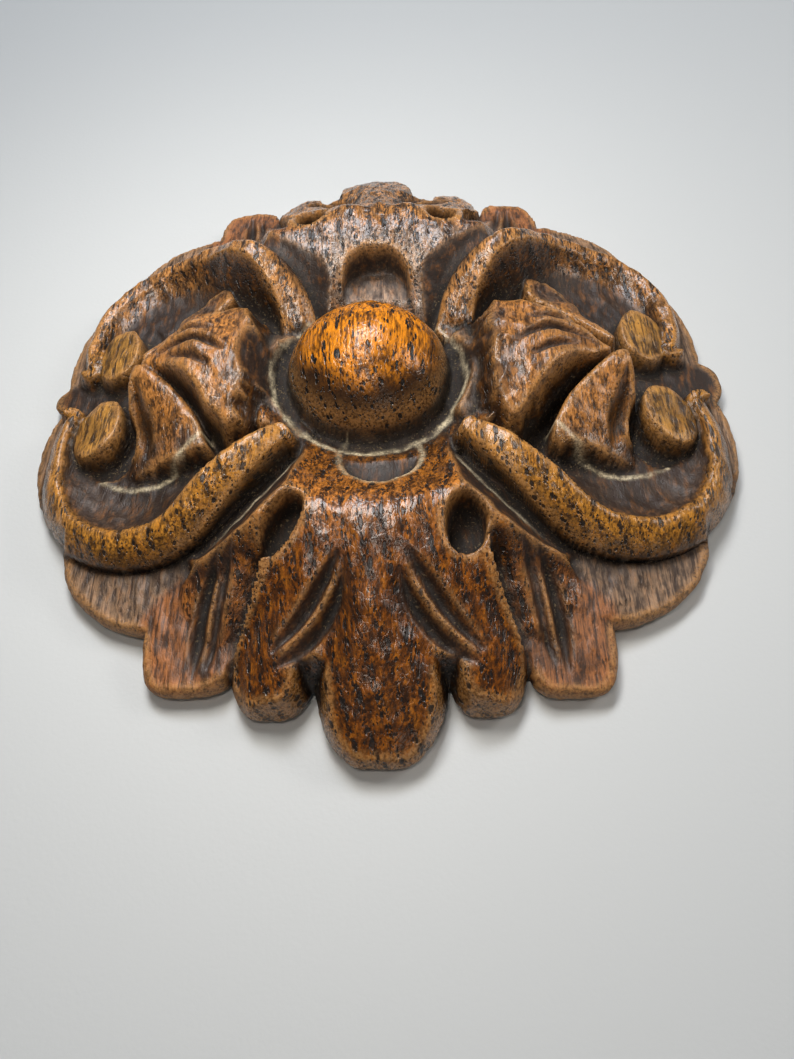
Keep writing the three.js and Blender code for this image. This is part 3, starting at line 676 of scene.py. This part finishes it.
def undercut(x, y):
    """Draws the foot of each roll's outer wall under the roll, as the gouge left it."""
    def shift(x, y, quarter):
        u, v = in_quarter(x, y, quarter)
        _, _, along, outside, _ = scroll(u, v, quarter["sy"] > 0)
        outside = np.where(np.isinf(outside), 9, outside)
        amount = UNDERCUT * ease(outside / 0.75) * (1 - ease((outside - 0.75) / 1.4))
        return amount * ease(along * 8) * ease((0.8 - along) * 8)

    def away(x, y, quarter):
        return nearest(*in_quarter(x, y, quarter), own_roll(quarter))[0]

    _, gx, gy = with_slope(lambda x, y: by_quarter(x, y, away), x, y)
    amount = by_quarter(x, y, shift)
    return x - amount * gx, y - amount * gy


# The old finish, part by part: colour before rubbing and painted shade, how strongly dark stain mottles it,
# how many of its pores are open and black, and how far it was rubbed to a shine
FINISH = {
    "ground": dict(stain="#8f7258", mottle=0.35, open_pores=0.3, gloss=0.1),
    "leaf": dict(stain="#7a420c", mottle=1.0, open_pores=0.9, gloss=0.85),
    "cut": dict(stain="#241a13", mottle=0.5, open_pores=0.1, gloss=0.0),
    "band": dict(stain="#b37a2c", mottle=0.75, open_pores=0.9, gloss=0.85),
    "cove": dict(stain="#4c3a2c", mottle=0.4, open_pores=0.25, gloss=0.15),
    "fan": dict(stain="#a87038", mottle=0.55, open_pores=0.5, gloss=0.75),
    "eye": dict(stain="#a97a38", mottle=0.4, open_pores=0.6, gloss=0.55),
    "boss": dict(stain="#cc7c16", mottle=0.35, open_pores=1.0, gloss=1.0),
    "flute": dict(stain="#4a3e38", mottle=0.3, open_pores=0.2, gloss=0.2),
}

# Colours of single places on a part
OUTER_LOBE = "#985f34"
COLLAR = "#a8682a"
FAR_SLOPE = "#9c8068"
FAR_CREST = "#b07c48"
FAR_BAND = "#b07c48"
MOAT = "#2e2118"
TORN = "#54453b"
BOSS_FOOT_DARK = "#20150d"
# Painted shade, laid nearly black on steep walls
STEEP_WALL_SHADE = "#150d08"

# Where the leaf's slope passes into its lobes, in millimetres from the middle of the object
LEAF_START = 30.0

# Shade of the stain in the hollows, which nothing rubbed and where painted shade darkens it, and on the high
# parts, where hands rubbed it most
WEAR_AND_SHADE_RANGE = (0.25, 1.45)


def linear(code):
    """A colour written as sRGB hex, turned to linear."""
    parts = [int(code[i:i + 2], 16) / 255 for i in (1, 3, 5)]
    return [c / 12.92 if c <= 0.04045 else ((c + 0.055) / 1.055) ** 2.4 for c in parts] + [1.0]


def tinted(colour, code, share):
    return mix(colour, np.array(linear(code)), np.asarray(share, float)[..., None])


def finish_of(key, layer):
    return np.array([FINISH[name][key] for name in LAYERS])[layer]


def stain(x, y, layer, middle, broad, slope):
    """Linear colour at each point: each part's own stain, lighter where hands and cloths rubbed it, darker in
    the hollows and on steep walls as painted shade, and the boss darker towards its foot.
    """
    colour = np.array([linear(FINISH[name]["stain"]) for name in LAYERS])[layer]
    on_leaf, on_boss, in_cut = on("leaf", layer), on("boss", layer), on("cut", layer)
    u, reach = np.abs(x), np.abs(y)
    _, groove, border = leaf_partings(reach / HALF_L)
    outer = (on_leaf | on("ground", layer)) & (reach > LEAF_START) & (u > groove)
    colour = tinted(colour, OUTER_LOBE, outer * (u < border + 1) * ease((reach - 34) / 6))
    beyond = ease((u - border - 1) / 2) * ease((reach - LEAF_START) / 8)
    colour = tinted(colour, FINISH["ground"]["stain"], on_leaf * beyond)
    colour = tinted(colour, COLLAR, (on_leaf & (y < 0)) * (1 - ease((reach - 32) / 7)))
    colour = tinted(colour, FAR_SLOPE, (on_leaf & (y > 0)) * (1 - ease((reach - LEAF_START) / 5)))
    colour = tinted(colour, FAR_CREST, (on_leaf & (y > 0) & ~outer) * ease((reach - LEAF_START) / 5))
    colour = tinted(colour, FAR_BAND, on("band", layer) * ease((y - 5) / 12))
    colour = tinted(colour, MOAT, in_cut * (boss_distance(x, y) < MOAT_RADIUS + 1))
    torn = 0.5 + 0.5 * noise(x, y, 2.9, 45)
    torn_end = ease((FAN_CLIFF + 4.5 - u) / 4) * (reach < 15) + ease((reach - 12.5) / 3)
    colour = tinted(colour, TORN, on("fan", layer) * clamp(torn_end) * ease(torn * 1.6))
    colour = tinted(colour, FAR_SLOPE, in_cut * clamp(0.8 - blob(x, y, **SCOOPS[1])))
    # The boss turns near black towards its foot: from halfway up on the near side, only close to the foot on
    # the far side
    dark_from = between(y, 0.52, 0.85, -9, 6) - 0.12 * noise(x, y, 1.7, 44)
    foot = on_boss * clamp((boss_distance(x, y) / BOSS_RADIUS - dark_from) / 0.22)
    colour = tinted(colour, BOSS_FOOT_DARK, foot * 0.97)
    mottle = 0.5 * noise(x, y, 5.3, 41) + 0.3 * noise(x * 2.4, y * 0.7, 2.1, 42) + 0.2 * noise(x, y, 1.1, 43)
    # Rubbing lightens the high parts and painted shade darkens the hollows, with a random mottle running
    # through both
    wear_and_shade = clamp(0.55 + 0.3 * middle + 0.05 * broad + 0.5 * mottle)
    colour = colour * mix(*WEAR_AND_SHADE_RANGE, wear_and_shade)[..., None]
    # Painted shade: the steeper a wall, the nearer its colour comes to black, less so on the boss
    colour = tinted(colour, STEEP_WALL_SHADE, 0.88 * ease((slope - 0.65) / 0.9) * np.where(on_boss, 0.3, 1))
    colour[..., 3] = finish_of("mottle", layer) * (1 - foot)
    return colour


# Pale dust and old wax, caught in the lines where surfaces meet
DUST_ARC = smooth_line([(0.782, 0.281), (0.71, 0.31), (0.628, 0.314), (0.566, 0.285), (0.466, 0.2)])


def dust(x, y):
    """Share of pale dust: round the boss, in each near cove, in the near scoop and along the near collar."""
    patchy = 0.8 + 0.4 * noise(x, y, 3.1, 51) + 0.5 * noise(x, y, 0.9, 52)
    off_ring = boss_distance(x, y) - MOAT_RADIUS - 0.6 + 0.4 * noise(x, y, 2.3, 53)
    ring = bump(off_ring / between(y, 0.9, 0.5, -11, -4)) * between(y, 1, 0.6, -4, 8)
    off_arc = by_quarter(x, y, lambda x, y, quarter: nearest(*in_quarter(x, y, quarter), DUST_ARC)[0])
    arc = bump(off_arc / 0.7) * (y < -4) * 0.8
    scoop = bump((blob(x, -y, **SCOOPS[-1]) - 0.8) / 0.8) * (y < -14)
    collar = by_quarter(x, y, collar_edge) * (y < 0)
    return clamp(np.maximum.reduce([ring, arc, scoop * 0.8, collar]) * patchy)


def collar_edge(x, y, quarter):
    """The line where the collar drops to the scroll's start."""
    _, _, along, outside, _ = scroll(*in_quarter(x, y, quarter), False)
    outside = np.where(np.isinf(outside), 99, outside)
    return bump((outside - 2.6) / 0.7) * ease(along / 0.04) * (1 - ease((along - 0.1) / 0.2))


def grime_and_shade(x, y, fine, middle, broad):
    """Share of black deposit and old wax, and of painted shade, read from how far a point lies below its
    surroundings: most in the narrow deep cuts, little in the wide far scoop.
    """
    sunk = -fine - 0.35 * middle - 0.1 * broad
    dirt_and_shade = ease((sunk - 0.1) / 1.3) * 0.95
    return dirt_and_shade * (1 - 0.75 * clamp(1 - blob(x, y, **SCOOPS[1])))


def carve_face():
    """The carved face, rim and flat back as one mesh, with the values that the finish reads."""
    columns = int(np.ceil((HALF_W + 4) / CELL))
    rows = int(np.ceil((HALF_L + 3) / CELL))
    bm = bmesh.new()
    stretch = Matrix.Diagonal((columns * CELL, rows * CELL, 1, 1))
    bmesh.ops.create_grid(bm, x_segments=2 * columns, y_segments=2 * rows, size=1, matrix=stretch)
    y, x = np.mgrid[-rows:rows + 1, -columns:columns + 1] * CELL

    inside = outline_distance(x, y) < 0
    x, y = drawn_to_edges(x, y)
    z, layer = relief(x, y)
    z = under_rim(z, x, y)
    shown = np.where(inside, z, 0)
    fine = shown - blurred(shown, 1.0)
    middle = shown - blurred(shown, 3.0)
    broad = shown - blurred(shown, 9.0)
    slope = np.hypot(*np.gradient(shown, CELL))
    colour = stain(x, y, layer, middle, broad, slope)
    colour = np.stack([blurred(channel, 0.4) for channel in np.moveaxis(colour, -1, 0)], axis=-1)
    z = np.maximum(z + hand_marks(x, y, layer) * ease((z - RIM) / 2), RIM - 0.4)
    values = {
        "rubbed": clamp((fine - 0.18) / 0.5),
        "grime_and_shade": grime_and_shade(x, y, fine, middle, broad),
        "dusty": dust(x, y),
        "gloss": blurred(finish_of("gloss", layer), 0.5),
        "open_pores": finish_of("open_pores", layer),
    }
    x, y = undercut(x, y)
    names = list(values)
    stores = [bm.verts.layers.float.new(name) for name in names]
    # The colour layer carries the stain with painted shade already laid into it
    tint = bm.verts.layers.float_color.new("stain")
    outside = []
    for vert in bm.verts:
        j = round(vert.co.x / CELL) + columns
        i = round(vert.co.y / CELL) + rows
        if not inside[i, j]:
            outside.append(vert)
            continue
        vert.co = (x[i, j], y[i, j], z[i, j])
        vert[tint] = colour[i, j]
        for name, store in zip(names, stores):
            vert[store] = values[name][i, j]
    bmesh.ops.delete(bm, geom=outside, context="VERTS")
    loose = [vert for vert in bm.verts if not vert.link_faces]
    bmesh.ops.delete(bm, geom=loose, context="VERTS")
    draw_rim(bm)
    close_back(bm)
    return to_object(bm, "carved_oak")


def open_edges(bm):
    return [edge for edge in bm.edges if edge.is_boundary]


def place_on_rim(verts, inset, height):
    x = np.array([vert.co.x for vert in verts])
    y = np.array([vert.co.y for vert in verts])
    x, y = pulled(x, y, lambda x, y: outline_distance(x, y) + inset, 4)
    for vert, px, py in zip(verts, x, y):
        vert.co.x, vert.co.y = px, py
        if height is not None:
            vert.co.z = height


def draw_rim(bm):
    verts = list({vert for edge in open_edges(bm) for vert in edge.verts})
    place_on_rim(verts, 0, None)
    for vert in verts:
        vert.co.z = RIM + 0.25 * float(noise(np.array(vert.co.x), np.array(vert.co.y), 3.1, 31))


def close_back(bm):
    """Extrudes the rim down to the back, set in by the bevel, and fills the flat back."""
    for inset, height in ((0.05, 0.62 * RIM), (0.55 * BACK_BEVEL, 0.3 * RIM), (BACK_BEVEL, 0.0)):
        new = bmesh.ops.extrude_edge_only(bm, edges=open_edges(bm))["geom"]
        verts = [item for item in new if isinstance(item, bmesh.types.BMVert)]
        place_on_rim(verts, inset, height)
    rim = open_edges(bm)
    for edge in rim:
        edge.smooth = False
    flat = bmesh.ops.edgeloop_fill(bm, edges=rim)["faces"]
    bmesh.ops.triangulate(bm, faces=flat)


def to_object(bm, name):
    for face in bm.faces:
        face.smooth = True
    bmesh.ops.recalc_face_normals(bm, faces=bm.faces)
    bmesh.ops.scale(bm, vec=(MM, MM, MM), verts=bm.verts)
    mesh = bpy.data.meshes.new(name)
    bm.to_mesh(mesh)
    bm.free()
    piece = bpy.data.objects.new(name, mesh)
    bpy.context.collection.objects.link(piece)
    return piece


# Materials
def add(tree, kind, inputs, output=0, **settings):
    """Adds a node with its settings. An input is a value or the output of another node."""
    node = tree.nodes.new("ShaderNode" + kind)
    for key, value in settings.items():
        setattr(node, key, value)
    for key, value in inputs.items():
        if isinstance(value, bpy.types.NodeSocket):
            tree.links.new(value, node.inputs[key])
        else:
            node.inputs[key].default_value = value
    return node.outputs[output]


def new_material(name):
    material = bpy.data.materials.new(name)
    material.use_nodes = True
    material.node_tree.nodes.clear()
    return material, material.node_tree


def stretched(place, x, y, z):
    """Scale that makes a pattern of size one x, y and z millimetres long."""
    return dict(Vector=place, Scale=(1 / (x * MM), 1 / (y * MM), 1 / (z * MM)))


def pores(tree, place, cell, length, early, most, least):
    """Dark vessels, one to a cell, in patches. The radius is a share of the cell, largest in early wood."""
    gathered = add(tree, "Mapping", stretched(place, 6 * cell, 3 * length, 6 * cell))
    gathered = add(tree, "TexNoise", dict(Vector=gathered, Scale=1.0, Detail=1.0))
    gathered = add(tree, "MapRange", {0: gathered, 1: 0.35, 2: 0.5, 3: 0.6, 4: 1.0})
    cells = add(tree, "Mapping", stretched(place, cell, length, cell))
    distance = add(tree, "TexVoronoi", dict(Vector=cells, Scale=1.0), "Distance")
    chance = add(tree, "SeparateColor", {0: distance.node.outputs["Color"]})
    largest = add(tree, "MapRange", {0: early, 1: 0.0, 2: 1.0, 3: least, 4: most})
    radius = add(tree, "MapRange", {0: chance, 1: 0.0, 2: 1.0, 3: 0.35, 4: 1.0})
    for share in (largest, gathered):
        radius = add(tree, "Math", {0: radius, 1: share}, operation="MULTIPLY")
    core = add(tree, "Math", {0: radius, 1: 0.7}, operation="MULTIPLY")
    return add(tree, "MapRange", {0: distance, 1: radius, 2: core, 3: 0.0, 4: 1.0})


RING_SPACING = 2.5


def waxed_oak():
    """Old oak, stained brown, waxed and rubbed for years: amber on the high parts, black-brown in the depths
    from old deposits and painted shade, open pores that run along the fibre, pale wax dust caught in the
    deepest lines."""
    material, tree = new_material("waxed_oak")
    place = add(tree, "TexCoord", {}, "Object")

    # Fibre runs along Y and wanders a little, so every pattern reads these bent coordinates
    slow = add(tree, "Mapping", stretched(place, 9, 26, 9))
    wander = add(tree, "TexNoise", dict(Vector=slow, Scale=1.0, Detail=1.0), "Color")
    bend = (1.6 * MM, 0, 1.6 * MM)
    bent = add(tree, "VectorMath", {0: wander, 1: bend, 2: place}, operation="MULTIPLY_ADD")

    # Growth rings 2.5 mm apart, their planes tilted to the board's face
    half_ring = RING_SPACING / 2 * MM
    tilted = (0.86 / half_ring, 0, 0.5 / half_ring)
    across = add(tree, "VectorMath", {0: bent, 1: tilted}, "Value", operation="DOT_PRODUCT")
    ring = add(tree, "Math", {0: across, 1: 1.0}, operation="PINGPONG")
    early = add(tree, "MapRange", {0: ring, 1: 0.35, 2: 0.85}, interpolation_type="SMOOTHSTEP")

    # Open pores, crowded in the early wood. Real ones are 0.3 to 0.4 mm wide. These are drawn coarser, mostly
    # about 0.5 mm and at most 0.9 mm wide, so that they show as black dashes
    large = pores(tree, bent, 0.85, 3.4, early, 0.62, 0.25)
    small = pores(tree, bent, 0.5, 2.2, early, 0.55, 0.3)
    pore = add(tree, "Math", {0: large, 1: small}, operation="MAXIMUM")

    streaks = add(tree, "Mapping", stretched(bent, 0.4, 9, 0.4))
    fibre = add(tree, "TexNoise", dict(Vector=streaks, Scale=1.0, Detail=3.0, Roughness=0.6))
    flecks = add(tree, "Mapping", stretched(bent, 1.2, 4.5, 1.2))
    figure = add(tree, "TexNoise", dict(Vector=flecks, Scale=1.0, Detail=4.0, Roughness=0.6))
    grain = add(tree, "Mapping", stretched(place, 0.5, 0.5, 0.5))
    grit = add(tree, "TexNoise", dict(Vector=grain, Scale=1.0, Detail=3.0, Roughness=0.7))
    short = add(tree, "Mapping", stretched(bent, 0.5, 1.3, 0.5))
    spots = add(tree, "TexNoise", dict(Vector=short, Scale=1.0, Detail=2.0, Roughness=0.6))

    rubbed = add(tree, "Attribute", {}, "Fac", attribute_name="rubbed")
    dirt_and_shade = add(tree, "Attribute", {}, "Fac", attribute_name="grime_and_shade")
    dusty = add(tree, "Attribute", {}, "Fac", attribute_name="dusty")
    gloss = add(tree, "Attribute", {}, "Fac", attribute_name="gloss")
    open_pores = add(tree, "Attribute", {}, "Fac", attribute_name="open_pores")
    wood = add(tree, "Attribute", {}, "Color", attribute_name="stain")
    mottled = wood.node.outputs["Alpha"]

    pore = add(tree, "Math", {0: pore, 1: open_pores}, operation="MULTIPLY")
    in_rows = add(tree, "MapRange", {0: early, 1: 0.0, 2: 1.0, 3: 0.5, 4: 1.0})
    dark_spots = add(tree, "MapRange", {0: spots, 1: 0.56, 2: 0.46, 3: 0.0, 4: 0.9})
    for share in (mottled, in_rows):
        dark_spots = add(tree, "Math", {0: dark_spots, 1: share}, operation="MULTIPLY")
    dark_figure = add(tree, "MapRange", {0: figure, 1: 0.52, 2: 0.36, 3: 0.0, 4: 0.85})
    amber = add(tree, "MapRange", {0: figure, 1: 0.5, 2: 0.66, 3: 0.0, 4: 0.6})
    amber = add(tree, "Math", {0: amber, 1: mottled}, operation="MULTIPLY")
    dark_fibre = add(tree, "MapRange", {0: fibre, 1: 0.48, 2: 0.63, 3: 0.0, 4: 0.85})
    light_grit = add(tree, "MapRange", {0: grit, 1: 0.38, 2: 0.56, 3: 0.1, 4: 0.6})
    worn = add(tree, "Math", {0: rubbed, 1: light_grit}, operation="MULTIPLY")

    # Black deposit and old wax lie in the hollows, with painted shade laid there too, and pale dust in the
    # deepest lines
    gritty = add(tree, "MapRange", {0: grit, 1: 0.25, 2: 0.6, 3: 0.6, 4: 1.0})
    dirt_and_shade = add(tree, "Math", {0: dirt_and_shade, 1: gritty}, operation="MULTIPLY")
    speckled = add(tree, "MapRange", {0: grit, 1: 0.38, 2: 0.58, 3: 0.3, 4: 1.0})
    dust_share = add(tree, "Math", {0: dusty, 1: speckled}, operation="MULTIPLY")

    specks = add(tree, "MapRange", {0: grit, 1: 0.58, 2: 0.66, 3: 0.0, 4: 0.45})
    specks = add(tree, "Math", {0: specks, 1: dirt_and_shade}, operation="MULTIPLY")

    # The near-black #110b07 lays black deposit and painted shade into the hollows
    for share, colour in ((amber, "#b8701e"), (dark_figure, "#2c190b"), (dark_spots, "#1f120a"),
                          (dark_fibre, "#2f1b0e"), (worn, "#c99256"), (pore, "#0f0a08"), (dirt_and_shade, "#110b07"),
                          (specks, "#a08a68"), (dust_share, "#d8c8a6")):
        wood = add(tree, "Mix", {0: share, 6: wood, 7: linear(colour)}, 2, data_type="RGBA")

    rough = add(tree, "MapRange", {0: gloss, 1: 0.0, 2: 1.0, 3: 0.45, 4: 0.12})
    for part, amount in ((grit, 0.2), (pore, 0.15), (dirt_and_shade, 0.35)):
        rough = add(tree, "Math", {0: part, 1: amount, 2: rough}, operation="MULTIPLY_ADD")

    # Old wax has crazed into plates about a millimetre across
    plates = add(tree, "Mapping", stretched(bent, 0.9, 1.3, 0.9))
    crazing = add(tree, "TexVoronoi", dict(Vector=plates, Scale=1.0), "Distance", feature="DISTANCE_TO_EDGE")
    crazing = add(tree, "MapRange", {0: crazing, 1: 0.0, 2: 0.14, 3: 1.0, 4: 0.0})

    height = add(tree, "Math", {0: pore, 1: -0.3, 2: 0.0}, operation="MULTIPLY_ADD")
    for pattern, amount in ((fibre, -0.09), (grit, 0.03), (figure, 0.1), (spots, 0.04), (crazing, -0.04)):
        height = add(tree, "Math", {0: pattern, 1: amount, 2: height}, operation="MULTIPLY_ADD")
    normal = add(tree, "Bump", dict(Strength=1.0, Distance=0.5 * MM, Height=height))

    finish = {"Base Color": wood, "Roughness": rough, "Normal": normal, "IOR": 1.5}
    surface = add(tree, "BsdfPrincipled", finish)
    tree.links.new(surface, tree.nodes.new("ShaderNodeOutputMaterial").inputs["Surface"])
    return material


LAMINATE = "#ced1d2"


def pale_board():
    """Table top of matt pale grey laminate with a very fine grain."""
    material, tree = new_material("pale_laminate")
    place = add(tree, "TexCoord", {}, "Object")
    grain = add(tree, "TexNoise", dict(Vector=place, Scale=1 / (0.8 * MM), Detail=2.0))
    normal = add(tree, "Bump", dict(Strength=0.25, Distance=0.1 * MM, Height=grain))
    finish = {"Base Color": linear(LAMINATE), "Roughness": 0.6, "Normal": normal}
    surface = add(tree, "BsdfPrincipled", finish)
    tree.links.new(surface, tree.nodes.new("ShaderNodeOutputMaterial").inputs["Surface"])
    return material


def make_table():
    bm = bmesh.new()
    bmesh.ops.create_grid(bm, x_segments=4, y_segments=4, size=3000)
    table = to_object(bm, "table_top")
    table.data.materials.append(pale_board())


# Camera of a phone held close over the near side
LENS = 26.0
SENSOR = 36.0
LOOK_AT = (3.5, -31.4, 8.0)
DISTANCE = 120.7
ELEVATION = 57.32
AZIMUTH = 2.83
ROLL_ANGLE = -3.81


def place_camera():
    elevation, azimuth, roll = np.radians((ELEVATION, AZIMUTH, ROLL_ANGLE))
    level = np.cos(elevation)
    back = Vector((np.sin(azimuth) * level, -np.cos(azimuth) * level, np.sin(elevation)))
    right = Vector((np.cos(azimuth), np.sin(azimuth), 0))
    up = back.cross(right)
    right, up = right * np.cos(roll) + up * np.sin(roll), up * np.cos(roll) - right * np.sin(roll)
    data = bpy.data.cameras.new("phone_camera")
    data.lens = LENS
    data.sensor_width = SENSOR
    data.clip_start = 0.01
    camera = bpy.data.objects.new("phone_camera", data)
    turned = Matrix((right, up, back)).transposed().to_4x4()
    camera.matrix_world = Matrix.Translation((Vector(LOOK_AT) + back * DISTANCE) * MM) @ turned
    bpy.context.collection.objects.link(camera)
    bpy.context.scene.camera = camera


def soft_light(name, at, aim, size, watts, colour):
    data = bpy.data.lights.new(name, "AREA")
    data.shape = "RECTANGLE"
    data.size, data.size_y = size
    data.energy = watts
    data.color = linear(colour)[:3]
    light = bpy.data.objects.new(name, data)
    light.location = at
    light.rotation_euler = (Vector(aim) - Vector(at)).to_track_quat("-Z", "Y").to_euler()
    bpy.context.collection.objects.link(light)


def light_room():
    """Lamps and windows: place, aim and size in metres, watts, colour."""
    soft_light("lamp_above", (-0.026, 0.022, 0.15), (0, 0.01, 0), (0.06, 0.045), 0.165, "#fffaf2")
    soft_light("window_behind", (-0.04, 0.36, 0.5), (0, 0, 0), (0.22, 0.13), 1.9, "#f4f8ff")
    soft_light("lamp_over_phone", (-0.01, -0.085, 0.17), (0, 0, 0), (0.032, 0.024), 0.05, "#fff2e4")
    soft_light("front_window", (0.21, -0.5, 0.27), (0, 0, 0.01), (0.1, 0.07), 0.12, "#fff2e2")
    soft_light("side_window", (0.4, 0.12, 0.3), (0, 0, 0), (0.14, 0.14), 0.55, "#fffaf4")
    world = bpy.data.worlds.new("room")
    world.use_nodes = True
    world.node_tree.nodes["Background"].inputs[0].default_value = linear("#dfe6ea")
    world.node_tree.nodes["Background"].inputs[1].default_value = 0.12
    bpy.context.scene.world = world
    bpy.context.scene.view_settings.view_transform = "Standard"


place_camera()
light_room()
make_table()
carving = carve_face()
carving.data.materials.append(waxed_oak())
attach(carving, "root")
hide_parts("carved_applique")
